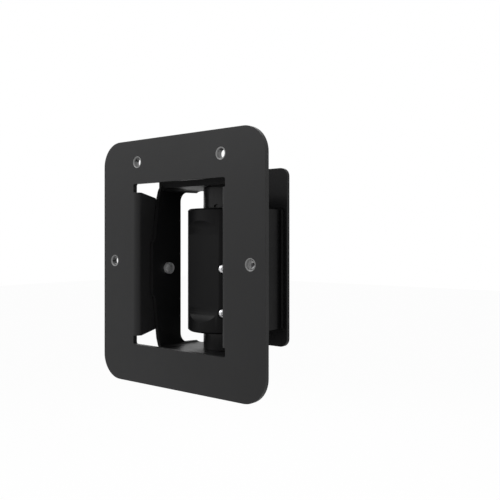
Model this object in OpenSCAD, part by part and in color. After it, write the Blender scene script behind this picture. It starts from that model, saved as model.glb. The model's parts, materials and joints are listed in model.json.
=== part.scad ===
// Wall bracket for a terminal: a folded wall plate, a cradle that tilts between its two ears,
// and a knuckle on a vertical bolt that swivels the front plate. Sizes are in millimetres.
// X runs along the wall, Y away from the wall and Z up.
// The origin is the centre of the face that lies on the wall.

/* [Wall plate] */
// Width of the wall plate
plate_w = 109; // [104:1:130]
// Height of the wall plate
plate_h = 125; // [118:1:150]
// Sheet thickness of the wall plate
plate_t = 2.5; // [2:0.1:3]
// Corner radius of the wall plate
plate_r = 12.5; // [4:0.5:18]
// Height of the window
window_h = 83; // [78:1:90]
// Height of the window's centre above the plate's centre
window_z = -1.5; // [-3:0.5:1]
// Corner radius of the window
window_r = 1; // [0.5:0.5:3]

/* [Ears] */
// Height of an ear where it leaves the plate
ear_h = 74.2; // [66:0.2:76]
// Height of an ear at its shoulder
ear_shoulder_h = 69.4; // [60:0.2:72]
// Distance of the shoulder from the wall
ear_shoulder_y = 13; // [8:0.5:15]
// Radius of an ear's nose round the tilt pivot
ear_nose_r = 9; // [6.5:0.5:10]
// Inner radius of the fold
fold_r = 0.5; // [0.5:0.1:1.5]

/* [Wall fixings] */
// Distance between the two upper bushes
upper_pair_x = 57; // [50:1:70]
// Distance of the upper bushes below the top edge
upper_pair_drop = 11.4; // [9:0.2:14]
// Distance between the two middle bushes
middle_pair_x = 92; // [86:1:94]
// Outer diameter of a bush in the plate
bush_d = 6.1; // [5.5:0.1:7]
// Bore of a bush
bush_bore = 4.3; // [3.2:0.1:4.4]
// Diameter of a bush's flange
bush_flange_d = 9; // [8:0.5:11]
// Thickness of a bush's flange
bush_flange_t = 0.8; // [0.5:0.1:1.5]

/* [Tilt cradle] */
// Clear width between the arms
cradle_in_w = 51; // [48:1:56]
// Clear height between the two decks
cradle_in_h = 84.8; // [80:0.2:92]
// Sheet thickness of the cradle
cradle_t = 2.2; // [1.5:0.1:3]
// Inner radius of the cradle's four folds
cradle_fold_r = 2; // [1:0.5:4]
// Distance of the decks' back edges from the wall
deck_back_y = 12.5; // [11:0.5:14]
// Distance of the decks' front edges from the wall
deck_front_y = 48; // [47:0.5:50]
// Corner radius at the decks' front edges
deck_front_r = 12; // [6:0.5:16]
// Distance of the arms' front edges from the wall
arm_front_y = 29; // [27:0.5:32]
// Corner radius between an arm's front edge and the decks
arm_front_r = 5.5; // [2:0.5:8]
// Height of the narrow strip of arm left beside each deck
arm_lip = 1.2; // [0.5:0.1:2]
// Distance of the pivot lobe's edge from the wall
lobe_y = 6; // [5:0.5:8]
// Height of the pivot lobe
lobe_h = 30; // [22:1:34]
// Corner radius of the pivot lobe
lobe_r = 2.5; // [1:0.5:4]
// Distance that the lobe stands out from the slopes beside it
lobe_step = 1.8; // [1:0.1:3]
// Height of the steep part at each end of an arm's back edge
arm_end_rise = 7.6; // [5:0.2:10]
// Distance that the steep part runs towards the wall
arm_end_run = 2.1; // [1:0.1:3]

/* [Tilt pivot] */
// Distance of the tilt axis from the wall
tilt_y = 19.3; // [18:0.1:21]
// Height of the tilt axis above the plate's centre
tilt_z = -4; // [-6:0.5:0]
// Diameter of a pivot screw
pivot_d = 4; // [3:0.5:5]
// Diameter of a pivot screw's head
pivot_head_d = 6.6; // [6:0.2:9]
// Height of a pivot screw's head
pivot_head_h = 2.3; // [1.8:0.1:3]
// Thickness of a friction washer
friction_t = 0.5; // [0.3:0.1:1]
// Diameter of a friction washer
friction_d = 15; // [10:1:17]

/* [Knuckle] */
// Distance of the swivel axis from the wall
swivel_y = 35.4; // [34.5:0.1:36]
// Radius of the knuckle's barrel
barrel_r = 18.9; // [17:0.1:20]
// Height of the knuckle
knuckle_h = 63.7; // [58:0.1:68]
// Height of the knuckle's centre above the plate's centre
knuckle_z = -4.65; // [-6:0.05:-3]
// Chamfer at the knuckle's ends
knuckle_chamfer = 0.8; // [0.4:0.1:2]
// Width of the body behind the barrel
body_w = 44; // [40:1:46]
// Distance of the foot's back from the wall
foot_y = 55.2; // [54:0.1:57]
// Thickness of the foot
foot_t = 2.4; // [1.5:0.1:4]
// Width that the foot stands out beyond the body on each side
foot_lip = 1.6; // [0.8:0.1:2.5]
// Corner radius of the foot
foot_r = 1.5; // [0.5:0.5:3]
// Depth of the body's full width in front of the foot's back
body_depth = 10; // [6:0.5:14]
// Width of the bevel where the body reaches its full width
body_bevel = 1.2; // [0.5:0.1:3]
// Depth of the flat cut into the barrel's back
flat_depth = 3; // [1:0.1:4]
// Height of the flat cut at the barrel's surface
flat_h = 51.6; // [40:0.1:54]
// Radius at the two ends of the flat cut
flat_end_r = 12; // [4:0.5:14]
// Height of the flat cut's centre above the knuckle's centre
flat_z = -0.25; // [-2:0.05:2]

/* [Swivel bolt] */
// Diameter of the swivel bolt
bolt_d = 8; // [6:0.5:9]
// Diameter of the bolt's head
bolt_head_d = 14; // [12:0.5:18]
// Height of the bolt's head
bolt_head_h = 4.4; // [3:0.1:6]
// Radius of the two posts
post_r = 10.7; // [9:0.1:12]
// Outer diameter of the sleeves in the knuckle
sleeve_d = 11; // [10.5:0.5:14]
// Length of a sleeve
sleeve_l = 14; // [8:1:24]
// Thickness of the upper friction ring
upper_ring_t = 0.5; // [0.3:0.1:1.5]
// Thickness of the lower friction ring
lower_ring_t = 0.7; // [0.3:0.1:1.5]
// Diameter of the friction rings
ring_d = 20; // [16:0.5:21]
// Thickness of the washer under the bolt's head
washer_t = 1.2; // [0.8:0.1:2]
// Radius of a spanner notch in the upper post
notch_r = 1.3; // [0.8:0.1:1.8]
// Angle between two spanner notches, in degrees
notch_step = 60; // [45:15:90]
// Direction of the first notch from the back, in degrees
notch_turn = 20; // [0:5:40]

/* [Clamp screws] */
// Diameter of a clamp screw
clamp_d = 3; // [2.5:0.5:4]
// Diameter of a clamp screw's head
clamp_head_d = 5; // [4.5:0.5:7]
// Height of a clamp screw's head
clamp_head_h = 2; // [1.5:0.1:3]
// Direction of the clamp screws from the back, in degrees
clamp_angle = 40; // [36:1:60]
// Height of the middle clamp screw above the plate's centre
clamp_middle_z = -3.6; // [-8:0.1:4]
// Height of the lower clamp screw above the plate's centre
clamp_lower_z = -26; // [-28:0.1:-22]
// Depth of a clamp screw's seat in the barrel
clamp_seat_depth = 1.2; // [0.8:0.1:1.8]
// Depth of the threaded hole under a clamp screw's seat
clamp_hole_l = 9; // [6:0.5:10]

/* [Front plate] */
// Width of the front plate
front_w = 50.8; // [50:0.2:60]
// Height of the front plate
front_h = 96.2; // [92:0.2:110]
// Thickness of the front plate
front_t = 2.5; // [2.4:0.1:4]
// Corner radius of the front plate
front_r = 4.5; // [2:0.5:10]
// Height of the front plate's centre above the wall plate's centre
front_z = 1.6; // [0:0.1:4]
// Distance between the two holes for the terminal
terminal_pitch = 84; // [83:1:86]
// Diameter of the holes for the terminal
terminal_d = 4.4; // [3.4:0.1:5]
// Distance between the front screws across the plate
front_screw_x = 30; // [24:1:34]
// Distance between the front screws up the plate
front_screw_z = 44; // [36:1:48]
// Diameter of a front screw
front_screw_d = 4; // [3:0.5:4]
// Depth of a front screw's hole in the knuckle
front_screw_l = 12; // [8:1:14]

/* [Hidden] */

$fn = 96;

// Radial clearance of a shank that turns in its hole
run_gap = 0.05;
// End clearance between faces that turn on each other
face_gap = 0.05;
// Overlap used only to make cuts run past a face
cut = 1;
// Length of shank that shows beyond a nut
end_show = 0.8;
// Room round a clamp screw's head in its seat
seat_gap = 0.2;
// Room left under the tip of a screw in a blind hole
tip_gap = 1;

arm_in_x = cradle_in_w / 2;
arm_out_x = arm_in_x + cradle_t;
ear_in_x = arm_out_x + face_gap + friction_t;
ear_out_x = ear_in_x + plate_t;
fold_x = ear_out_x + fold_r;
window_w = 2 * fold_x;

deck_top_z = tilt_z + cradle_in_h / 2;
deck_low_z = tilt_z - cradle_in_h / 2;
knuckle_top_z = knuckle_z + knuckle_h / 2;
knuckle_low_z = knuckle_z - knuckle_h / 2;
upper_post_z = knuckle_top_z + face_gap + upper_ring_t;
lower_post_z = knuckle_low_z - face_gap - lower_ring_t;
front_y = foot_y + foot_t;
flat_y = swivel_y - barrel_r + flat_depth;
clamp_seat_r = barrel_r - clamp_seat_depth;

// A countersunk head of a front screw
sunk_h = 0.55 * front_screw_d;
sunk_d = 2 * front_screw_d;

// A disc spring or a nut takes its sizes from the shank that it sits on
function spring_h(d) = 0.25 * d;
function nut_af(d) = d < 6 ? 1.75 * d : 1.625 * d;
function nut_h(d) = 0.8 * d;
function collar_h(d) = 0.25 * d;
function stack_h(d) = spring_h(d) + nut_h(d) + collar_h(d) + end_show;
function socket_af(d) = 0.625 * d;

// Angle at which a line from a point touches a circle round a centre
function touch_angle(point, centre, r, turn) =
    atan2(point.y - centre.y, point.x - centre.x) - turn * acos(r / norm(point - centre));

// Points along an arc, in order from one angle to the other
function arc(centre, r, from, to, steps = 6) =
    [for (i = [0 : steps]) centre + r * [cos(from + (to - from) * i / steps),
                                         sin(from + (to - from) * i / steps)]];

module rounded_rect(w, h, r) {
    square([w - 2 * r, h], center = true);
    square([w, h - 2 * r], center = true);
    for (x = [-1, 1], y = [-1, 1]) {
        translate([x * (w / 2 - r), y * (h / 2 - r)]) circle(r = r);
    }
}

// Draws a shape of the XZ plane and gives it a thickness along Y
module along_y(from, length) {
    translate([0, from + length, 0]) rotate([90, 0, 0]) linear_extrude(length) children();
}

// Draws a shape of the YZ plane and gives it a thickness along X
module along_x(from, length) {
    translate([from, 0, 0]) rotate([90, 0, 90]) linear_extrude(length) children();
}

// Stands a turned piece on the tilt axis, pointing outwards on one side
module on_tilt_axis(side, x) {
    translate([side * x, tilt_y, tilt_z]) rotate([0, side * 90, 0]) children();
}

module on_swivel_axis(z) {
    translate([0, swivel_y, z]) children();
}

// A domed head with a hexagon socket, its seat at zero and its top upwards
module domed_head(d, h, across) {
    rim = h / 4;
    socket_z = 0.4 * h;
    dome_r = (pow(d / 2, 2) + pow(h - rim, 2)) / (2 * (h - rim));
    difference() {
        rotate_extrude() intersection() {
            translate([0, h - dome_r]) circle(r = dome_r);
            square([d / 2, h]);
        }
        translate([0, 0, socket_z]) cylinder(d = across / cos(30), h = h, $fn = 6);
    }
}

module ring(outer_d, inner_d, h) {
    rotate_extrude() translate([inner_d / 2, 0]) square([(outer_d - inner_d) / 2, h]);
}

// A shallow cone washer that stands on its outer rim
module disc_spring(d) {
    inner_r = d / 2 + run_gap;
    outer_r = 1.25 * d;
    wall = 0.12 * d;
    rotate_extrude() polygon([
        [outer_r, 0], [outer_r, wall], [inner_r, spring_h(d)], [inner_r, spring_h(d) - wall]
    ]);
}

// A hexagon nut with bevelled corners and its round locking collar
module lock_nut(d) {
    flat_r = 0.54 * nut_af(d);
    corner_r = 0.58 * nut_af(d);
    bevel = 0.06 * d;
    difference() {
        union() {
            intersection() {
                cylinder(d = nut_af(d) / cos(30), h = nut_h(d), $fn = 6);
                rotate_extrude() polygon([
                    [0, 0], [flat_r, 0], [corner_r, bevel],
                    [corner_r, nut_h(d) - bevel], [flat_r, nut_h(d)], [0, nut_h(d)]
                ]);
            }
            translate([0, 0, nut_h(d)]) cylinder(d = 0.86 * nut_af(d), h = collar_h(d));
        }
        translate([0, 0, -cut]) cylinder(d = d, h = nut_h(d) + d);
    }
}

// The outline of an ear, with Y across and Z up
module ear_outline() {
    pivot = [tilt_y, tilt_z];
    top = [ear_shoulder_y, window_z + ear_shoulder_h / 2];
    low = [ear_shoulder_y, window_z - ear_shoulder_h / 2];
    top_a = touch_angle(top, pivot, ear_nose_r, 1);
    low_a = touch_angle(low, pivot, ear_nose_r, -1);
    root_y = plate_t + fold_r;
    polygon([
        [0, window_z - ear_h / 2], [root_y, window_z - ear_h / 2], low,
        pivot + ear_nose_r * [cos(low_a), sin(low_a)],
        pivot + ear_nose_r * [cos(top_a), sin(top_a)],
        top, [root_y, window_z + ear_h / 2], [0, window_z + ear_h / 2]
    ]);
    translate(pivot) circle(r = ear_nose_r);
}

// The section of a folded ear, with X across and Y up
module ear_section() {
    outer_r = plate_t + fold_r;
    translate([fold_x, outer_r]) intersection() {
        difference() {
            circle(r = outer_r);
            circle(r = fold_r);
        }
        translate([-outer_r, -outer_r]) square(outer_r);
    }
    translate([ear_in_x, outer_r]) square([plate_t, tilt_y + ear_nose_r]);
}

module ear() {
    difference() {
        intersection() {
            translate([0, 0, -plate_h / 2]) linear_extrude(plate_h) ear_section();
            along_x(ear_in_x - cut, fold_x) ear_outline();
        }
        translate([ear_in_x - cut, tilt_y, tilt_z]) rotate([0, 90, 0])
            cylinder(r = pivot_d / 2 + run_gap, h = plate_t + 2 * cut);
    }
}

module at_wall_fixings() {
    for (x = [-1, 1]) {
        translate([x * upper_pair_x / 2, 0, plate_h / 2 - upper_pair_drop]) children();
        translate([x * middle_pair_x / 2, 0, 0]) children();
    }
}

module wall_plate() {
    color([0.2, 0.2, 0.21]) {
        difference() {
            along_y(0, plate_t) difference() {
                rounded_rect(plate_w, plate_h, plate_r);
                translate([0, window_z]) rounded_rect(window_w, window_h, window_r);
            }
            at_wall_fixings() rotate([-90, 0, 0])
                translate([0, 0, -cut]) cylinder(d = bush_d, h = plate_t + 2 * cut);
        }
        for (side = [0, 1]) mirror([side, 0, 0]) ear();
    }
}

// A pressed bush: flush with the wall face, chamfered mouth, flange on the room side
module wall_bush() {
    mouth = (bush_d - bush_bore) / 4;
    rotate([-90, 0, 0]) rotate_extrude() polygon([
        [bush_bore / 2 + mouth, 0], [bush_d / 2, 0], [bush_d / 2, plate_t],
        [bush_flange_d / 2, plate_t], [bush_flange_d / 2, plate_t + bush_flange_t],
        [bush_bore / 2, plate_t + bush_flange_t], [bush_bore / 2, mouth]
    ]);
}

module wall_bushes() {
    color([0.72, 0.72, 0.74]) at_wall_fixings() wall_bush();
}

module pivot_screw(side) {
    seat_x = arm_in_x - face_gap;
    tip_x = ear_out_x + stack_h(pivot_d);
    color([0.75, 0.75, 0.77]) {
        on_tilt_axis(side, seat_x) mirror([0, 0, 1])
            domed_head(pivot_head_d, pivot_head_h, socket_af(pivot_d));
        on_tilt_axis(side, seat_x) cylinder(d = pivot_d, h = tip_x - seat_x);
    }
}

module friction_washer(side) {
    color([0.85, 0.84, 0.8]) on_tilt_axis(side, ear_in_x - friction_t)
        ring(friction_d, pivot_d + 2 * run_gap, friction_t);
}

module pivot_disc_spring(side) {
    color([0.6, 0.6, 0.62]) on_tilt_axis(side, ear_out_x) disc_spring(pivot_d);
}

module pivot_nut(side) {
    color([0.72, 0.72, 0.74])
        on_tilt_axis(side, ear_out_x + spring_h(pivot_d)) lock_nut(pivot_d);
}

// The outline of an arm's back edge: two slopes and the lobe round the pivot
module arm_back_edge() {
    half_h = cradle_in_h / 2 + cradle_t;
    step_y = lobe_y + lobe_step;
    front = deck_front_y + cut;
    low = concat(
        [[front, -half_h], [deck_back_y, -half_h],
         [deck_back_y - arm_end_run, arm_end_rise - half_h], [step_y, -1 - lobe_h / 2]],
        arc([lobe_y + lobe_r, lobe_r - lobe_h / 2], lobe_r, 240, 180)
    );
    high = [for (i = [len(low) - 1 : -1 : 0]) [low[i].x, -low[i].y]];
    translate([0, tilt_z]) polygon(concat(low, high));
}

// The space in front of the arms, open between the two decks
module arm_front_cut() {
    h = cradle_in_h - 2 * arm_lip;
    reach = 2 * deck_front_y;
    translate([arm_front_y + reach / 2, tilt_z]) rounded_rect(reach, h, arm_front_r);
}

// The outline of both decks, seen from above
module deck_plan() {
    depth = deck_front_y + deck_front_r;
    w = cradle_in_w + 2 * cradle_t;
    translate([0, deck_front_y - depth / 2]) rounded_rect(w, depth, deck_front_r);
}

module tilt_cradle() {
    outer_w = cradle_in_w + 2 * cradle_t;
    outer_h = cradle_in_h + 2 * cradle_t;
    color([0.13, 0.13, 0.14]) difference() {
        intersection() {
            along_y(0, deck_front_y) translate([0, tilt_z]) difference() {
                rounded_rect(outer_w, outer_h, cradle_fold_r + cradle_t);
                rounded_rect(cradle_in_w, cradle_in_h, cradle_fold_r);
            }
            along_x(-outer_w, 2 * outer_w) arm_back_edge();
            translate([0, 0, tilt_z - outer_h]) linear_extrude(2 * outer_h) deck_plan();
        }
        along_x(-outer_w, 2 * outer_w) arm_front_cut();
        translate([-arm_in_x, -cut, deck_low_z - cradle_t - cut])
            cube([cradle_in_w, deck_back_y + cut, outer_h + 2 * cut]);
        translate([-outer_w, tilt_y, tilt_z]) rotate([0, 90, 0])
            cylinder(r = pivot_d / 2 + run_gap, h = 2 * outer_w);
        on_swivel_axis(tilt_z - outer_h) cylinder(r = bolt_d / 2 + run_gap, h = 2 * outer_h);
    }
}

// The upper post, with spanner notches round its foot
module upper_post() {
    h = deck_top_z - upper_post_z;
    notch_z = 0.35 * notch_r;
    color([0.14, 0.14, 0.15]) on_swivel_axis(upper_post_z) difference() {
        ring(2 * post_r, bolt_d + 2 * run_gap, h);
        for (a = [notch_turn - 90 : notch_step : notch_turn + 269]) {
            rotate([0, 0, a]) translate([post_r - notch_r, 0, notch_z]) rotate([0, 90, 0])
                cylinder(r = notch_r, h = 2 * notch_r, $fn = 32);
        }
    }
}

module lower_post() {
    h = lower_post_z - deck_low_z;
    color([0.14, 0.14, 0.15]) on_swivel_axis(deck_low_z) ring(2 * post_r, bolt_d + 2 * run_gap, h);
}

module upper_friction_ring() {
    color([0.08, 0.08, 0.08]) on_swivel_axis(upper_post_z - upper_ring_t)
        ring(ring_d, bolt_d + 2 * run_gap, upper_ring_t);
}

module lower_friction_ring() {
    color([0.08, 0.08, 0.08]) on_swivel_axis(lower_post_z)
        ring(ring_d, bolt_d + 2 * run_gap, lower_ring_t);
}

module bolt_washer() {
    color([0.7, 0.7, 0.72]) on_swivel_axis(deck_top_z + cradle_t)
        ring(bolt_head_d + 3, bolt_d + 2 * run_gap, washer_t);
}

module bolt_disc_spring() {
    color([0.6, 0.6, 0.62]) on_swivel_axis(deck_low_z - cradle_t)
        mirror([0, 0, 1]) disc_spring(bolt_d);
}

module bolt_nut() {
    color([0.72, 0.72, 0.74]) on_swivel_axis(deck_low_z - cradle_t - spring_h(bolt_d))
        mirror([0, 0, 1]) lock_nut(bolt_d);
}

module swivel_bolt() {
    seat_z = deck_top_z + cradle_t + washer_t;
    tip_z = deck_low_z - cradle_t - stack_h(bolt_d);
    color([0.75, 0.75, 0.77]) on_swivel_axis(0) {
        translate([0, 0, seat_z]) domed_head(bolt_head_d, bolt_head_h, socket_af(bolt_d));
        translate([0, 0, tip_z]) cylinder(d = bolt_d, h = seat_z - tip_z);
    }
}

// The barrel, turned, with a chamfer at each end
module barrel() {
    on_swivel_axis(knuckle_low_z) rotate_extrude() polygon([
        [0, 0], [barrel_r - knuckle_chamfer, 0], [barrel_r, knuckle_chamfer],
        [barrel_r, knuckle_h - knuckle_chamfer], [barrel_r - knuckle_chamfer, knuckle_h],
        [0, knuckle_h]
    ]);
}

// The body in plan: it leaves the barrel's sides and widens to the foot
module body_plan() {
    inside_r = 0.9 * barrel_r;
    wide_y = foot_y - body_depth;
    half = [
        [inside_r, swivel_y], [body_w / 2 - body_bevel, wide_y - body_bevel],
        [body_w / 2, wide_y], [body_w / 2, foot_y]
    ];
    polygon(concat(half, [for (i = [len(half) - 1 : -1 : 0]) [-half[i].x, half[i].y]]));
}

// Radial place on the barrel for a clamp screw
module on_barrel(z, r) {
    on_swivel_axis(z) rotate([0, 0, clamp_angle - 90]) translate([r, 0, 0])
        rotate([0, 90, 0]) children();
}

module clamp_places(r) {
    on_barrel(clamp_middle_z, r) children();
    on_barrel(clamp_lower_z, r) children();
}

module at_front_screws() {
    for (x = [-1, 1], z = [-1, 1]) {
        translate([x * front_screw_x / 2, 0, knuckle_z + z * front_screw_z / 2]) children();
    }
}

// The flat on the barrel's back, with a large radius at each end
module flat_cut() {
    end_run = sqrt(pow(flat_end_r, 2) - pow(flat_end_r - flat_depth, 2));
    h = flat_h + 2 * (flat_end_r - end_run);
    depth = 4 * flat_end_r;
    along_x(-body_w, 2 * body_w) translate([flat_y - depth / 2, knuckle_z + flat_z])
        rounded_rect(depth, h, flat_end_r);
}

// Holes along Y for the front screws
module front_screw_holes(from, length) {
    at_front_screws() translate([0, from, 0]) rotate([-90, 0, 0])
        cylinder(d = front_screw_d, h = length);
}

module swivel_knuckle() {
    color([0.14, 0.14, 0.15]) difference() {
        union() {
            barrel();
            translate([0, 0, knuckle_low_z]) linear_extrude(knuckle_h) body_plan();
            along_y(foot_y, foot_t) translate([0, knuckle_z])
                rounded_rect(body_w + 2 * foot_lip, knuckle_h + foot_lip, foot_r);
        }
        flat_cut();
        on_swivel_axis(knuckle_low_z - cut) cylinder(d = sleeve_d, h = knuckle_h + 2 * cut);
        clamp_places(clamp_seat_r) cylinder(r = clamp_head_d / 2 + seat_gap, h = barrel_r);
        clamp_places(clamp_seat_r - clamp_hole_l) cylinder(d = clamp_d, h = clamp_hole_l + cut);
        front_screw_holes(front_y - front_screw_l, front_screw_l + cut);
    }
}

module sleeve(z) {
    color([0.8, 0.78, 0.7]) on_swivel_axis(z) ring(sleeve_d, bolt_d + 2 * run_gap, sleeve_l);
}

module upper_sleeve() {
    sleeve(knuckle_top_z - sleeve_l);
}

module lower_sleeve() {
    sleeve(knuckle_low_z);
}

module clamp_screws() {
    shank = clamp_hole_l - tip_gap;
    color([0.75, 0.75, 0.77]) {
        clamp_places(clamp_seat_r) domed_head(clamp_head_d, clamp_head_h, socket_af(clamp_d));
        clamp_places(clamp_seat_r - shank) cylinder(d = clamp_d, h = shank);
    }
}

module front_plate() {
    face_y = front_y + front_t;
    color([0.13, 0.13, 0.14]) difference() {
        along_y(front_y, front_t) translate([0, front_z]) rounded_rect(front_w, front_h, front_r);
        for (z = [-1, 1]) {
            translate([0, front_y - cut, front_z + z * terminal_pitch / 2]) rotate([-90, 0, 0])
                cylinder(d = terminal_d, h = front_t + 2 * cut);
        }
        front_screw_holes(front_y - cut, front_t + 2 * cut);
        at_front_screws() translate([0, face_y - sunk_h, 0]) rotate([-90, 0, 0])
            cylinder(d1 = front_screw_d, d2 = sunk_d, h = sunk_h);
    }
}

// Countersunk screws, flush with the front plate's face
module front_screws() {
    face_y = front_y + front_t;
    length = front_t + front_screw_l - tip_gap;
    socket_h = 0.6 * sunk_h;
    color([0.7, 0.7, 0.72]) at_front_screws() difference() {
        translate([0, face_y, 0]) rotate([90, 0, 0]) rotate_extrude() polygon([
            [0, 0], [sunk_d / 2, 0], [front_screw_d / 2, sunk_h],
            [front_screw_d / 2, length], [0, length]
        ]);
        translate([0, face_y - socket_h, 0]) rotate([-90, 0, 0])
            cylinder(d = socket_af(front_screw_d) / cos(30), h = sunk_h, $fn = 6);
    }
}

wall_plate();
wall_bushes();
pivot_screw(-1);  // left_pivot_screw
friction_washer(-1);  // left_friction_washer
pivot_disc_spring(-1);  // left_disc_spring
pivot_nut(-1);  // left_pivot_nut
pivot_screw(1);  // right_pivot_screw
friction_washer(1);  // right_friction_washer
pivot_disc_spring(1);  // right_disc_spring
pivot_nut(1);  // right_pivot_nut
tilt_cradle();
upper_post();
lower_post();
upper_friction_ring();
lower_friction_ring();
swivel_bolt();
bolt_washer();
bolt_disc_spring();
bolt_nut();
swivel_knuckle();
upper_sleeve();
lower_sleeve();
clamp_screws();
front_plate();
front_screws();
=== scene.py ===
"""Looks for a terminal wall mount bracket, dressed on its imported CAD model.

The folded sheets, the cast knuckle, its posts and the fasteners get copies with real edge
radii. The cradle's copy has its back edges set forward and gets a rim on each deck. The pivot
screws get plain crowned heads, the screws and the bolt get threaded ends, and the lock nuts
get their plastic rings. Every other CAD node keeps its own shape and gets a finish.
"""

import json
import logging
import math
from dataclasses import dataclass
from enum import Enum

import bmesh
import bpy
from mathutils import Matrix, Vector


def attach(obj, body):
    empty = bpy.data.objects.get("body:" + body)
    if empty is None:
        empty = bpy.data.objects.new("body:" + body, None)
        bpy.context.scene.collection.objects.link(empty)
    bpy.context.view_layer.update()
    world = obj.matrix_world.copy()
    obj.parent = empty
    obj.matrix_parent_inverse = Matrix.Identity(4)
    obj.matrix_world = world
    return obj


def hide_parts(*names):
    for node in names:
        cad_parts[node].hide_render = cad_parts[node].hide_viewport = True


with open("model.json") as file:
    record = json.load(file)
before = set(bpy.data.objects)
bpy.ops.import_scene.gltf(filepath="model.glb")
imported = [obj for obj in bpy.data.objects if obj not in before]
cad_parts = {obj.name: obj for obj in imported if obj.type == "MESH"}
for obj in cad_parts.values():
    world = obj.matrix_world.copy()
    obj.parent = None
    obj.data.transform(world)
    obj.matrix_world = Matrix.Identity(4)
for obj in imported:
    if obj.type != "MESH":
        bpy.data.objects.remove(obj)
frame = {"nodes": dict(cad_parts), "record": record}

log = logging.getLogger("bracket")

MM = 0.001
EDGE_LAYER = "edge_wear"


class Body(Enum):
    """The rigid bodies of the bracket."""

    WALL = "wall"
    CRADLE = "cradle"
    HEAD = "head"


class Side(Enum):
    """The two sides of the tilt axis."""

    LEFT = -1
    RIGHT = 1


class Graph:
    """A material's node tree, with short calls that add and join its nodes."""

    def __init__(self, name: str) -> None:
        """Makes an empty material.

        Args:
            name: The material's name.
        """
        self.material = bpy.data.materials.new(name)
        self.material.use_nodes = True
        self.tree = self.material.node_tree
        self.tree.nodes.clear()
        self.shader = self.tree.nodes.new("ShaderNodeBsdfPrincipled")
        output = self.tree.nodes.new("ShaderNodeOutputMaterial")
        self.tree.links.new(self.shader.outputs["BSDF"], output.inputs["Surface"])
        self.point = self.tree.nodes.new("ShaderNodeTexCoord").outputs["Object"]

    def add(self, kind: str, **values: object) -> bpy.types.Node:
        """Adds a node and fills its sockets.

        Args:
            kind: The node's type name.
            **values: Socket names, with _ for a space, and their values or source sockets.

        Returns:
            The new node.
        """
        node = self.tree.nodes.new(kind)
        for name, value in values.items():
            self.put(node.inputs[name.replace("_", " ")], value)
        return node

    def put(self, socket: bpy.types.NodeSocket, value: object) -> None:
        """Sets a socket, or joins it to another node's output.

        Args:
            socket: The socket that takes the value.
            value: A number, a tuple, or an output socket.
        """
        if isinstance(value, bpy.types.NodeSocket):
            self.tree.links.new(value, socket)
        else:
            socket.default_value = value

    def stretched(self, scale: tuple[float, float, float]) -> bpy.types.NodeSocket:
        """Object coordinates stretched along the axes.

        Args:
            scale: The factor along each axis.

        Returns:
            The output of a Mapping node.
        """
        return self.add("ShaderNodeMapping", Vector=self.point, Scale=scale).outputs["Vector"]

    def noise(self, scale: float, detail: float = 3.0, vector: object = None) -> bpy.types.NodeSocket:
        """A noise pattern in space.

        Args:
            scale: Waves for each metre.
            detail: How many finer octaves it has.
            vector: Coordinates to read instead of plain object coordinates.

        Returns:
            The noise factor's output.
        """
        node = self.add("ShaderNodeTexNoise", Scale=scale, Detail=detail, Roughness=0.55)
        self.put(node.inputs["Vector"], vector or self.point)
        return node.outputs["Fac"]

    def spread(self, value: object, low: float, high: float, a: float, b: float) -> bpy.types.NodeSocket:
        """Maps a value's range onto another, clamped at both ends.

        Args:
            value: The output to map.
            low: The value that becomes a.
            high: The value that becomes b.
            a: The result at low.
            b: The result at high.

        Returns:
            The mapped output.
        """
        node = self.add("ShaderNodeMapRange", Value=value, From_Min=low, From_Max=high, To_Min=a, To_Max=b)
        return node.outputs["Result"]

    def times(self, a: object, b: object) -> bpy.types.NodeSocket:
        """The product of two values."""
        node = self.tree.nodes.new("ShaderNodeMath")
        node.operation = "MULTIPLY"
        self.put(node.inputs[0], a)
        self.put(node.inputs[1], b)
        return node.outputs["Value"]

    def mix(self, factor: object, a: object, b: object) -> bpy.types.NodeSocket:
        """A colour between two colours.

        Args:
            factor: 0 gives a and 1 gives b.
            a: A colour or an output.
            b: A colour or an output.

        Returns:
            The mixed colour's output.
        """
        node = self.tree.nodes.new("ShaderNodeMix")
        node.data_type = "RGBA"
        self.put(node.inputs["Factor"], factor)
        for name, value in (("A", a), ("B", b)):
            socket = next(s for s in node.inputs if s.name == name and s.type == "RGBA")
            self.put(socket, (*value, 1.0) if isinstance(value, tuple) else value)
        return next(s for s in node.outputs if s.type == "RGBA")

    def worn_edge(self, low: float, high: float) -> bpy.types.NodeSocket:
        """Where the softened edges have lost a little of their coat.

        Args:
            low: Noise value at which wear begins.
            high: Noise value at which wear is full.

        Returns:
            A mask that is 0 away from the edges.
        """
        edge = self.tree.nodes.new("ShaderNodeAttribute")
        edge.attribute_name = EDGE_LAYER
        return self.times(edge.outputs["Fac"], self.spread(self.noise(420.0, 4.0), low, high, 0.0, 1.0))

    def shine(self, level: float) -> None:
        """Sets how strongly the surface mirrors its surroundings."""
        self.shader.inputs["Specular IOR Level"].default_value = level

    def bumped(self, *layers: tuple[object, float]) -> None:
        """Joins bump layers to the shader's normal.

        Args:
            *layers: Pairs of a height output and its depth in metres.
        """
        normal = None
        for height, depth in layers:
            bump = self.add("ShaderNodeBump", Strength=1.0, Distance=depth, Height=height)
            if normal is not None:
                self.put(bump.inputs["Normal"], normal)
            normal = bump.outputs["Normal"]
        self.put(self.shader.inputs["Normal"], normal)


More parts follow.
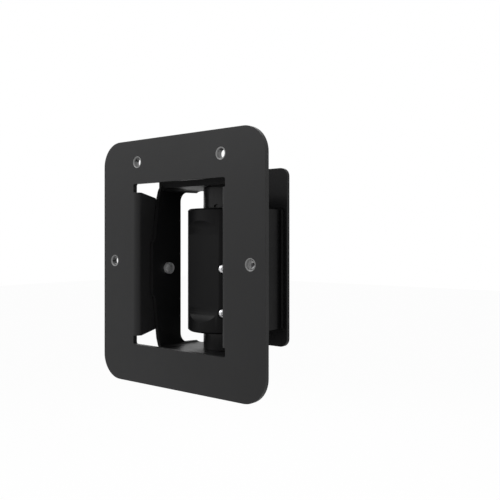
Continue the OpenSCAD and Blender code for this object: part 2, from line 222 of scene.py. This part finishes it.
@dataclass(frozen=True)
class BlackCoat:
    """Fine satin powder coat on folded steel sheet."""

    name: str = "black_powder_coat"
    colour: tuple[float, float, float] = (0.0124, 0.0124, 0.0128)
    faded: tuple[float, float, float] = (0.0136, 0.0136, 0.0141)
    worn: tuple[float, float, float] = (0.022, 0.022, 0.0225)
    gloss: tuple[float, float] = (0.47, 0.52)
    shine: float = 0.21

    def material(self) -> bpy.types.Material:
        """Builds the coat: cloudy tone, orange-peel skin, pimples and rubbed edges."""
        g = Graph(self.name)
        tone = g.mix(g.spread(g.noise(24.0, 2.0), 0.35, 0.65, 0.0, 1.0), self.colour, self.faded)
        g.put(g.shader.inputs["Base Color"], g.mix(g.worn_edge(0.5, 0.75), tone, self.worn))
        g.put(g.shader.inputs["Roughness"], g.spread(g.noise(150.0), 0.3, 0.7, *self.gloss))
        g.shine(self.shine)
        g.bumped((g.noise(950.0, 1.0), 0.000022), (g.noise(4200.0, 2.0), 0.000010))
        return g.material


@dataclass(frozen=True)
class BlackCasting:
    """Black coat over a die-cast or turned body, a little coarser than sheet."""

    name: str = "black_cast_coat"
    colour: tuple[float, float, float] = (0.0046, 0.0046, 0.0049)
    faded: tuple[float, float, float] = (0.0060, 0.0060, 0.0063)
    worn: tuple[float, float, float] = (0.022, 0.022, 0.0225)
    gloss: tuple[float, float] = (0.36, 0.44)
    grain: float = 0.00003
    shine: float = 0.09

    def material(self) -> bpy.types.Material:
        """Builds the coat: flow clouds, cast grain and rubbed edges."""
        g = Graph(self.name)
        flow = g.noise(38.0, 3.0, g.stretched((1.0, 1.0, 0.35)))
        tone = g.mix(g.spread(flow, 0.35, 0.7, 0.0, 1.0), self.colour, self.faded)
        g.put(g.shader.inputs["Base Color"], g.mix(g.worn_edge(0.48, 0.7), tone, self.worn))
        g.put(g.shader.inputs["Roughness"], g.spread(g.noise(210.0), 0.3, 0.7, *self.gloss))
        g.shine(self.shine)
        g.bumped((g.noise(620.0, 2.0), self.grain), (g.noise(2600.0, 2.0), 0.000010))
        return g.material


@dataclass(frozen=True)
class Plated:
    """Bare or plated metal with turning marks and fine scratches."""

    name: str
    colour: tuple[float, float, float]
    dull: tuple[float, float, float]
    gloss: tuple[float, float]
    streak: tuple[float, float, float] = (1.0, 1.0, 1.0)
    metal: float = 1.0

    def material(self) -> bpy.types.Material:
        """Builds the metal: cloudy plating, streaks and hairline scratches."""
        g = Graph(self.name)
        g.shader.inputs["Metallic"].default_value = self.metal
        cloud = g.spread(g.noise(330.0, 3.0), 0.35, 0.75, 0.0, 1.0)
        g.put(g.shader.inputs["Base Color"], g.mix(cloud, self.colour, self.dull))
        lines = g.noise(1500.0, 2.0, g.stretched(self.streak))
        g.put(g.shader.inputs["Roughness"], g.spread(lines, 0.3, 0.7, *self.gloss))
        g.bumped((lines, 0.000008), (g.noise(5200.0, 1.0), 0.000004))
        return g.material


@dataclass(frozen=True)
class SlipPlastic:
    """Dull, slippery plastic of the friction washers and rings."""

    name: str
    colour: tuple[float, float, float]
    rubbed: tuple[float, float, float]

    def material(self) -> bpy.types.Material:
        """Builds the plastic: soft mottling and rub marks."""
        g = Graph(self.name)
        marks = g.spread(g.noise(260.0, 4.0), 0.45, 0.7, 0.0, 1.0)
        g.put(g.shader.inputs["Base Color"], g.mix(marks, self.colour, self.rubbed))
        g.put(g.shader.inputs["Roughness"], g.spread(g.noise(700.0), 0.3, 0.7, 0.5, 0.68))
        g.bumped((g.noise(2100.0, 2.0), 0.000012))
        return g.material


class Finishes:
    """Every finish of the bracket, made once and looked up by the record's slot or by node."""

    def __init__(self) -> None:
        """Builds the materials."""
        self.by_slot: dict[str, bpy.types.Material] = {
            "black_sheet": BlackCoat().material(),
            "black_casting": BlackCasting().material(),
            "black_post": BlackCasting(
                name="black_post_coat", colour=(0.0105, 0.0105, 0.011), faded=(0.0135, 0.0135, 0.014),
                gloss=(0.3, 0.38), grain=0.000014, shine=0.3,
            ).material(),
            "zinc_steel": Plated("bright_zinc", (0.62, 0.62, 0.63), (0.54, 0.54, 0.55), (0.26, 0.36)).material(),
            "spring_steel": Plated(
                "oiled_spring_steel", (0.27, 0.265, 0.26), (0.14, 0.14, 0.145), (0.3, 0.45)
            ).material(),
            "washer_plastic": SlipPlastic("pale_slip_plastic", (0.6, 0.58, 0.52), (0.45, 0.43, 0.39)).material(),
            "ring_plastic": SlipPlastic("dark_slip_plastic", (0.02, 0.02, 0.021), (0.045, 0.045, 0.046)).material(),
            "sleeve_brass": Plated(
                "sleeve_brass", (0.66, 0.47, 0.19), (0.42, 0.29, 0.12), (0.28, 0.42), (1.0, 1.0, 6.0)
            ).material(),
        }
        # Painted shade: a darker copy of the sheet coat for the cradle and the front plate, standing in for the
        # shade that falls inside the bracket.
        painted_shade_coat = BlackCoat(
            name="black_inner_coat", colour=(0.0058, 0.0058, 0.0061), faded=(0.0078, 0.0078, 0.0081),
            worn=(0.018, 0.018, 0.0185), shine=0.12,
        ).material()
        # Painted light: a lighter, partly diffuse copy of the zinc finish for the pivot screws, standing in for the
        # highlight on their heads.
        satin_zinc = Plated(
            "satin_zinc", (0.74, 0.74, 0.75), (0.64, 0.64, 0.65), (0.26, 0.36), metal=0.75
        ).material()
        # Painted shade: a darker copy of the zinc finish for the wall bushes, standing in for the shade inside
        # their bores.
        dull_nickel = Plated(
            "dull_nickel", (0.2, 0.2, 0.2), (0.14, 0.14, 0.14), (0.42, 0.55), metal=0.9
        ).material()
        self.by_node: dict[str, bpy.types.Material] = {
            # The cradle and the front plate take the sheet coat with painted shade.
            "tilt_cradle": painted_shade_coat,
            "front_plate": painted_shade_coat,
            # The bushes take the zinc finish with painted shade.
            "wall_bushes": dull_nickel,
            # The pivot screws take the zinc finish with painted light.
            "left_pivot_screw": satin_zinc,
            "right_pivot_screw": satin_zinc,
        }
        self.slot_of: dict[str, str] = {
            part["node"]: part["material_slot"] for part in frame["record"]["subparts"]
        }

    def of_node(self, name: str) -> bpy.types.Material:
        """The finish of a CAD node."""
        return self.by_node.get(name, self.by_slot[self.slot_of[name]])

    def dress_node(self, name: str) -> None:
        """Gives a CAD node its finish.

        Args:
            name: The node's name.
        """
        node = frame["nodes"][name]
        material = self.of_node(name)
        if not node.material_slots:
            node.data.materials.append(material)
        for slot in node.material_slots:
            slot.material = material

    def dress_copy(self, piece: bpy.types.Object, name: str) -> None:
        """Gives a node's copy the node's finish.

        Args:
            piece: The finished piece.
            name: The node that it was copied from.
        """
        piece.data.materials.append(self.of_node(name))

    def dress_piece(self, piece: bpy.types.Object, slot: str) -> None:
        """Gives a new piece the finish of one of the record's material slots.

        Args:
            piece: The finished piece.
            slot: The record's material slot.
        """
        piece.data.materials.append(self.by_slot[slot])


def piece_from(bm: bmesh.types.BMesh, name: str, sharp_from: float = 24.0) -> bpy.types.Object:
    """Turns a bmesh into a linked object at the origin.

    Args:
        bm: The bmesh, which is freed.
        name: The object's name.
        sharp_from: Angle between faces, in degrees, from which an edge is shown sharp.

    Returns:
        The new object.
    """
    mesh = bpy.data.meshes.new(name)
    bm.to_mesh(mesh)
    bm.free()
    mesh.polygons.foreach_set("use_smooth", [True] * len(mesh.polygons))
    mesh.set_sharp_from_angle(angle=math.radians(sharp_from))
    piece = bpy.data.objects.new(name, mesh)
    bpy.context.scene.collection.objects.link(piece)
    return piece


def turned(profile: list[tuple[float, float]], closed: bool = False, steps: int = 48) -> bmesh.types.BMesh:
    """A shape turned about Z.

    Args:
        profile: Points of radius and height, in order.
        closed: Whether the profile runs back to its first point, as on a ring.
        steps: Steps of one turn.

    Returns:
        The turned shape, closed and facing outwards.
    """
    bm = bmesh.new()
    verts = [bm.verts.new((r, 0.0, h)) for r, h in profile]
    edges = [bm.edges.new(pair) for pair in zip(verts, verts[1:] + verts[:1] if closed else verts[1:])]
    bmesh.ops.spin(
        bm, geom=verts + edges, cent=(0, 0, 0), axis=(0, 0, 1), dvec=(0, 0, 0), angle=math.tau,
        steps=steps, use_merge=True, use_duplicate=False,
    )
    bmesh.ops.remove_doubles(bm, verts=bm.verts, dist=0.001 * MM)
    bmesh.ops.recalc_face_normals(bm, faces=bm.faces)
    return bm


def crowned(
    r: float, wall: float, h: float, neck: tuple[float, float], rings: int = 6
) -> list[tuple[float, float]]:
    """The profile of a short cylinder with a gently domed end and a neck under its seat.

    Args:
        r: Radius of the cylinder.
        wall: Height of its straight side.
        h: Height of the dome's middle.
        neck: Radius and length of the neck.
        rings: Steps of the dome.

    Returns:
        Points of radius and height, from the neck's middle to the dome's middle.
    """
    dome_r = (r * r + (h - wall) ** 2) / (2 * (h - wall))
    dome = [
        (r * (1 - i / rings), h - dome_r + math.sqrt(dome_r**2 - (r * (1 - i / rings)) ** 2))
        for i in range(rings + 1)
    ]
    neck_r, neck_l = neck
    return [(0.0, -neck_l), (neck_r, -neck_l), (neck_r, 0.0), (r, 0.0), *dome]


def thread_ridge(root_r: float, crest_r: float, pitch: float, length: float) -> bmesh.types.BMesh:
    """The ridge of a screw thread, wound about Z.

    Args:
        root_r: Radius at the foot of the ridge.
        crest_r: Radius at its crest.
        pitch: Rise of one turn.
        length: Height that the ridge takes up.

    Returns:
        The closed ridge, which starts at zero height.
    """
    steps = 32
    turns = length / pitch - 1
    foot_r = root_r - 0.02 * MM
    bm = bmesh.new()
    verts = [bm.verts.new(p) for p in ((foot_r, 0, 0), (crest_r, 0, pitch / 2), (foot_r, 0, pitch))]
    start = bm.faces.new(verts)
    count = round(steps * turns)
    bmesh.ops.spin(
        bm, geom=verts + list(start.edges) + [start], cent=(0, 0, 0), axis=(0, 0, 1),
        dvec=(0, 0, pitch / steps), angle=math.tau * turns, steps=count,
        use_merge=False, use_duplicate=False,
    )
    bmesh.ops.holes_fill(bm, edges=[e for e in bm.edges if e.is_boundary], sides=0)
    bmesh.ops.recalc_face_normals(bm, faces=bm.faces)
    return bm


def added(bm: bmesh.types.BMesh, more: bmesh.types.BMesh, at: Matrix) -> None:
    """Adds a shape to another one.

    Args:
        bm: The bmesh that grows.
        more: The bmesh that is added, and freed.
        at: Where it goes.
    """
    bmesh.ops.transform(more, matrix=at, verts=more.verts)
    mesh = bpy.data.meshes.new("added")
    more.to_mesh(mesh)
    more.free()
    bm.from_mesh(mesh)
    bpy.data.meshes.remove(mesh)


def along(start: Vector, way: Vector) -> Matrix:
    """The place of a turned shape whose Z axis points a given way."""
    return Matrix.Translation(start) @ way.to_track_quat("Z", "Y").to_matrix().to_4x4()


@dataclass
class SoftenedPart:
    """A rigid part with its real edge radii.

    The CAD node's mesh is copied, merged and cleared of needless edges, and each hard
    edge gets a small rounding, marked for the wear in the coat.
    """

    node: str
    name: str
    body: Body
    radius: float = 0.25 * MM
    segments: int = 2
    hard_from: float = 28.0

    def build(self) -> bpy.types.Object:
        """Builds the part.

        Returns:
            The new piece, still bare.
        """
        bm = bmesh.new()
        bm.from_mesh(frame["nodes"][self.node].data)
        bmesh.ops.remove_doubles(bm, verts=bm.verts, dist=0.002 * MM)
        bmesh.ops.dissolve_limit(bm, angle_limit=math.radians(0.7), verts=bm.verts, edges=bm.edges)
        bmesh.ops.recalc_face_normals(bm, faces=bm.faces)
        self.reshape(bm)
        wear = bm.loops.layers.float.new(EDGE_LAYER)
        hard = [
            e for e in bm.edges
            if len(e.link_faces) == 2 and e.calc_face_angle() > math.radians(self.hard_from)
        ]
        rounded = bmesh.ops.bevel(
            bm, geom=hard, offset=self.radius, offset_type="OFFSET", affect="EDGES",
            segments=self.segments, profile=0.5, material=-1, clamp_overlap=True, loop_slide=True,
        )
        for face in rounded["faces"]:
            for loop in face.loops:
                loop[wear] = 1.0
        self.detail(bm)
        piece = piece_from(bm, self.name)
        flats = piece.modifiers.new("flat_faces_stay_flat", "WEIGHTED_NORMAL")
        flats.keep_sharp = True
        return piece

    def reshape(self, bm: bmesh.types.BMesh) -> None:
        """Changes the copy before its edges are rounded. A plain part has nothing to change."""

    def detail(self, bm: bmesh.types.BMesh) -> None:
        """Adds detail after the edges are rounded. A plain part has none."""

    def place(self, finishes: Finishes) -> None:
        """Builds, dresses and rides the part.

        Args:
            finishes: The finishes of the bracket.
        """
        piece = self.build()
        finishes.dress_copy(piece, self.node)
        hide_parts(self.node)
        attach(piece, self.body.value)
        log.info("%s: %d faces", self.name, len(piece.data.polygons))


@dataclass
class CradleSheet(SoftenedPart):
    """The folded cradle, with its back edges set forward and a rim on each deck."""

    set_back: float = 2.4 * MM
    back_zone: float = 13.5 * MM
    corner: tuple[float, float] = (15.7 * MM, 36.0 * MM)
    corner_move: tuple[float, float] = (2.0 * MM, 3.0 * MM)
    corner_scale: float = 14.0 / 12.0
    arm_ends: float = 34.6 * MM
    near: float = 0.01 * MM
    width: float = 55.4 * MM
    rim_y: float = 14.88 * MM
    rim_t: float = 2.3 * MM
    rim_from: float = 42.5 * MM
    rim_to: float = 47.4 * MM
    pivot_z: float = -4.0 * MM

    def reshape(self, bm: bmesh.types.BMesh) -> None:
        """Sets the back edges forward, rounds the decks' front corners more and adds the rims.

        Args:
            bm: The copy of the cradle.
        """
        back = [v for v in bm.verts if v.co.y < self.back_zone]
        bmesh.ops.translate(bm, verts=back, vec=(0.0, self.set_back, 0.0))
        x, y = self.corner
        for side in (-1, 1):
            arc = [v for v in bm.verts if v.co.x * side > x - self.near and v.co.y > y - self.near]
            bmesh.ops.scale(
                bm, verts=arc, vec=(self.corner_scale, self.corner_scale, 1.0),
                space=Matrix.Translation((-side * x, -y, 0.0)),
            )
            bmesh.ops.translate(bm, verts=arc, vec=(-side * self.corner_move[0], -self.corner_move[1], 0.0))
            for vert in arc:
                vert.co.y = max(vert.co.y, self.arm_ends)
            bmesh.ops.remove_doubles(bm, verts=arc, dist=5 * self.near)
        high = self.rim_to - self.rim_from
        for side in (-1, 1):
            middle = self.pivot_z + side * (self.rim_from + high / 2)
            place = Matrix.Translation((0.0, self.rim_y + self.rim_t / 2, middle))
            size = Matrix.Diagonal((self.width, self.rim_t, high, 1.0))
            bmesh.ops.create_cube(bm, size=1.0, matrix=place @ size)


@dataclass
class ThreadedPart(SoftenedPart):
    """A screw or bolt whose shank ends in a thread."""

    thread_from: tuple[float, float, float] = (0.0, 0.0, 0.0)
    tip: tuple[float, float, float] = (0.0, 0.0, 0.0)
    shank_r: float = 2.0 * MM
    pitch: float = 0.7 * MM

    @property
    def way(self) -> Vector:
        """The direction in which the shank points."""
        return (Vector(self.tip) - Vector(self.thread_from)).normalized()

    def cut_off(self, bm: bmesh.types.BMesh, at: Vector, way: Vector) -> None:
        """Cuts the copy at a plane and closes it.

        Args:
            bm: The copy.
            at: A point of the plane.
            way: The side that is taken away.
        """
        bmesh.ops.bisect_plane(
            bm, geom=bm.verts[:] + bm.edges[:] + bm.faces[:], dist=0.0001 * MM,
            plane_co=at, plane_no=way, clear_outer=True,
        )
        bmesh.ops.holes_fill(bm, edges=[e for e in bm.edges if e.is_boundary], sides=0)

    def reshape(self, bm: bmesh.types.BMesh) -> None:
        """Cuts the plain end off the shank."""
        self.cut_off(bm, Vector(self.thread_from), self.way)

    def detail(self, bm: bmesh.types.BMesh) -> None:
        """Adds the threaded end.

        Args:
            bm: The rounded copy.
        """
        length = (Vector(self.tip) - Vector(self.thread_from)).length
        root_r = self.shank_r - 0.54 * self.pitch
        bevel = 0.3 * self.pitch
        core = [(0.0, -bevel), (root_r, -bevel), (root_r, length - bevel), (root_r - bevel, length), (0.0, length)]
        at = along(Vector(self.thread_from), self.way)
        added(bm, turned(core), at)
        added(bm, thread_ridge(root_r, self.shank_r, self.pitch, length - bevel), at)


@dataclass
class PivotScrew(ThreadedPart):
    """A pivot screw with a plain crowned head inside the arm."""

    seat_x: float = 25.45 * MM
    head_r: float = 3.05 * MM
    head_wall: float = 1.6 * MM
    head_h: float = 2.3 * MM
    neck: tuple[float, float] = (1.9 * MM, 0.4 * MM)

    @property
    def seat(self) -> Vector:
        """The middle of the head's seat on the arm."""
        return Vector((self.way.x * self.seat_x, self.tip[1], self.tip[2]))

    def reshape(self, bm: bmesh.types.BMesh) -> None:
        """Cuts off the plain end and the head."""
        super().reshape(bm)
        self.cut_off(bm, self.seat + self.way * self.neck[1] / 2, -self.way)

    def detail(self, bm: bmesh.types.BMesh) -> None:
        """Adds the threaded end and the crowned head."""
        super().detail(bm)
        head = crowned(self.head_r, self.head_wall, self.head_h, self.neck)
        added(bm, turned(head), along(self.seat, -self.way))


@dataclass
class NutRing:
    """The plastic locking ring in the mouth of a lock nut."""

    name: str
    body: Body
    mouth: tuple[float, float, float]
    way: tuple[float, float, float]
    inner_r: float
    outer_r: float
    depth: float = 0.8 * MM
    proud: float = 0.1 * MM

    def place(self, finishes: Finishes) -> None:
        """Builds, dresses and rides the ring.

        Args:
            finishes: The finishes of the bracket.
        """
        soft = 0.6 * self.proud
        section = [
            (self.inner_r, -self.depth), (self.outer_r, -self.depth), (self.outer_r, self.proud - soft),
            (self.outer_r - soft, self.proud), (self.inner_r + soft, self.proud), (self.inner_r, self.proud - soft),
        ]
        bm = turned(section, closed=True)
        bmesh.ops.transform(bm, matrix=along(Vector(self.mouth), Vector(self.way)), verts=bm.verts)
        piece = piece_from(bm, self.name)
        finishes.dress_piece(piece, "washer_plastic")
        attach(piece, self.body.value)
        log.info("%s: %d faces", self.name, len(piece.data.polygons))


@dataclass
class Studio:
    """Camera, floor and light."""

    eye: tuple[float, float, float] = (0.2255, -0.2266, 0.0116)
    aim: tuple[float, float, float] = (-0.6211, 0.7837, 0.0)
    lens: float = 46.8
    shift_y: float = -0.0224
    floor_z: float = -0.32
    floor_shown: float = 0.93
    world_light: float = 0.72

    def camera(self) -> None:
        """Sets the camera at the photograph's angle."""
        data = bpy.data.cameras.new("camera")
        data.lens = self.lens
        data.sensor_width = 36.0
        data.shift_y = self.shift_y
        data.clip_start = 0.01
        camera = bpy.data.objects.new("camera", data)
        camera.location = self.eye
        camera.rotation_euler = Vector(self.aim).to_track_quat("-Z", "Y").to_euler()
        bpy.context.scene.collection.objects.link(camera)
        bpy.context.scene.camera = camera

    def lamp(self, name: str, place: tuple[float, float, float], size: float, watts: float) -> None:
        """Adds a soft square lamp that points at the bracket.

        Args:
            name: The lamp's name.
            place: Where it stands.
            size: Its side.
            watts: Its power.
        """
        data = bpy.data.lights.new(name, "AREA")
        data.size = size
        data.energy = watts
        lamp = bpy.data.objects.new(name, data)
        lamp.location = place
        lamp.rotation_euler = (Vector((0.0, 0.03, 0.0)) - Vector(place)).to_track_quat("-Z", "Y").to_euler()
        bpy.context.scene.collection.objects.link(lamp)

    @staticmethod
    def seen_white(tree: bpy.types.NodeTree) -> bpy.types.NodeSocket:
        """A factor that is 1 for camera, glossy and transmission rays.

        Args:
            tree: The node tree that gets the nodes.

        Returns:
            The factor's output.
        """
        path = tree.nodes.new("ShaderNodeLightPath")
        total = path.outputs["Is Camera Ray"]
        for name in ("Is Glossy Ray", "Is Transmission Ray"):
            add = tree.nodes.new("ShaderNodeMath")
            add.operation = "MAXIMUM"
            tree.links.new(total, add.inputs[0])
            tree.links.new(path.outputs[name], add.inputs[1])
            total = add.outputs["Value"]
        return total

    def world(self) -> None:
        """Sets a plain world that shows white and lights evenly."""
        world = bpy.data.worlds.new("plain_world")
        world.use_nodes = True
        tree = world.node_tree
        tree.nodes.clear()
        light = tree.nodes.new("ShaderNodeBackground")
        light.inputs["Strength"].default_value = self.world_light
        shown = tree.nodes.new("ShaderNodeBackground")
        shown.inputs["Strength"].default_value = 1.0
        for node in (light, shown):
            node.inputs["Color"].default_value = (1.0, 1.0, 1.0, 1.0)
        mix = tree.nodes.new("ShaderNodeMixShader")
        output = tree.nodes.new("ShaderNodeOutputWorld")
        tree.links.new(self.seen_white(tree), mix.inputs[0])
        tree.links.new(light.outputs[0], mix.inputs[1])
        tree.links.new(shown.outputs[0], mix.inputs[2])
        tree.links.new(mix.outputs[0], output.inputs["Surface"])
        bpy.context.scene.world = world

    def floor(self) -> None:
        """Lays a plain pale floor far below the bracket."""
        bm = bmesh.new()
        bmesh.ops.create_grid(bm, x_segments=1, y_segments=1, size=4.0)
        bmesh.ops.translate(bm, verts=bm.verts, vec=(0.0, 0.0, self.floor_z))
        floor = piece_from(bm, "floor")
        material = bpy.data.materials.new("pale_floor")
        material.use_nodes = True
        tree = material.node_tree
        shader = tree.nodes["Principled BSDF"]
        shader.inputs["Base Color"].default_value = (0.9, 0.9, 0.9, 1.0)
        shader.inputs["Roughness"].default_value = 0.9
        shown = tree.nodes.new("ShaderNodeEmission")
        shown.inputs["Color"].default_value = (1.0, 1.0, 1.0, 1.0)
        share = tree.nodes.new("ShaderNodeMath")
        share.operation = "MULTIPLY"
        share.inputs[1].default_value = self.floor_shown
        tree.links.new(self.seen_white(tree), share.inputs[0])
        mix = tree.nodes.new("ShaderNodeMixShader")
        tree.links.new(share.outputs["Value"], mix.inputs[0])
        tree.links.new(shader.outputs[0], mix.inputs[1])
        tree.links.new(shown.outputs[0], mix.inputs[2])
        tree.links.new(mix.outputs[0], tree.nodes["Material Output"].inputs["Surface"])
        floor.data.materials.append(material)

    def build(self) -> None:
        """Sets camera, world, floor and lamps."""
        self.camera()
        self.world()
        self.floor()
        self.lamp("key_lamp", (-0.46, -0.62, 0.52), 0.35, 3.6)
        self.lamp("back_lamp", (-0.45, 0.75, 0.45), 0.6, 2.0)
        bpy.context.scene.view_settings.view_transform = "Standard"


TILT_Y = 19.3 * MM
TILT_Z = -4.0 * MM
SWIVEL_Y = 35.4 * MM
FINE = 0.08 * MM


def pivot_screw(side: Side) -> PivotScrew:
    """The pivot screw of one side."""
    x = side.value * MM
    return PivotScrew(
        f"{side.name.lower()}_pivot_screw", f"{side.name.lower()}_pivot_screw_turned", Body.WALL, radius=FINE,
        thread_from=(35.2 * x, TILT_Y, TILT_Z), tip=(36.75 * x, TILT_Y, TILT_Z),
    )


def nut_ring(side: Side) -> NutRing:
    """The locking ring of one pivot nut."""
    return NutRing(
        f"{side.name.lower()}_nut_ring", Body.WALL, (side.value * 35.95 * MM, TILT_Y, TILT_Z),
        (float(side.value), 0.0, 0.0), 2.0 * MM, 2.6 * MM,
    )


SOFTENED: tuple[SoftenedPart, ...] = (
    SoftenedPart("wall_plate", "folded_wall_plate", Body.WALL),
    SoftenedPart("wall_bushes", "pressed_bushes", Body.WALL, radius=0.15 * MM, segments=3),
    CradleSheet("tilt_cradle", "folded_cradle", Body.CRADLE),
    SoftenedPart("upper_post", "upper_post_turned", Body.CRADLE, radius=0.3 * MM),
    SoftenedPart("lower_post", "lower_post_turned", Body.CRADLE, radius=0.3 * MM),
    SoftenedPart("swivel_knuckle", "cast_knuckle", Body.HEAD, radius=0.3 * MM, hard_from=35.0),
    SoftenedPart("front_plate", "front_plate_panel", Body.HEAD),
    SoftenedPart("front_screws", "countersunk_screws", Body.HEAD, radius=FINE),
    SoftenedPart("clamp_screws", "clamp_screw_pair", Body.HEAD, radius=FINE),
    SoftenedPart("left_pivot_nut", "left_lock_nut", Body.WALL, radius=FINE),
    SoftenedPart("right_pivot_nut", "right_lock_nut", Body.WALL, radius=FINE),
    SoftenedPart("left_disc_spring", "left_cupped_spring", Body.WALL, radius=FINE),
    SoftenedPart("right_disc_spring", "right_cupped_spring", Body.WALL, radius=FINE),
    SoftenedPart("bolt_washer", "bolt_head_washer", Body.CRADLE, radius=0.15 * MM),
    SoftenedPart("bolt_disc_spring", "bolt_cupped_spring", Body.CRADLE, radius=FINE),
    SoftenedPart("bolt_nut", "bolt_lock_nut", Body.CRADLE, radius=0.12 * MM),
    ThreadedPart(
        "swivel_bolt", "swivel_bolt_turned", Body.CRADLE, radius=0.15 * MM, shank_r=4.0 * MM,
        pitch=1.25 * MM, thread_from=(0.0, SWIVEL_Y, -57.2 * MM), tip=(0.0, SWIVEL_Y, -59.8 * MM),
    ),
    *(pivot_screw(side) for side in Side),
)

NUT_RINGS: tuple[NutRing, ...] = (
    *(nut_ring(side) for side in Side),
    NutRing(
        "bolt_nut_ring", Body.CRADLE, (0.0, SWIVEL_Y, -59.0 * MM), (0.0, 0.0, -1.0), 4.0 * MM, 4.9 * MM
    ),
)


def main() -> None:
    """Builds and dresses the whole bracket."""
    logging.basicConfig(level=logging.INFO, format="%(name)s: %(message)s")
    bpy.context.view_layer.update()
    finishes = Finishes()
    for name in frame["nodes"]:
        finishes.dress_node(name)
    for part in SOFTENED + NUT_RINGS:
        part.place(finishes)
    Studio().build()


if __name__ == "__main__":
    main()
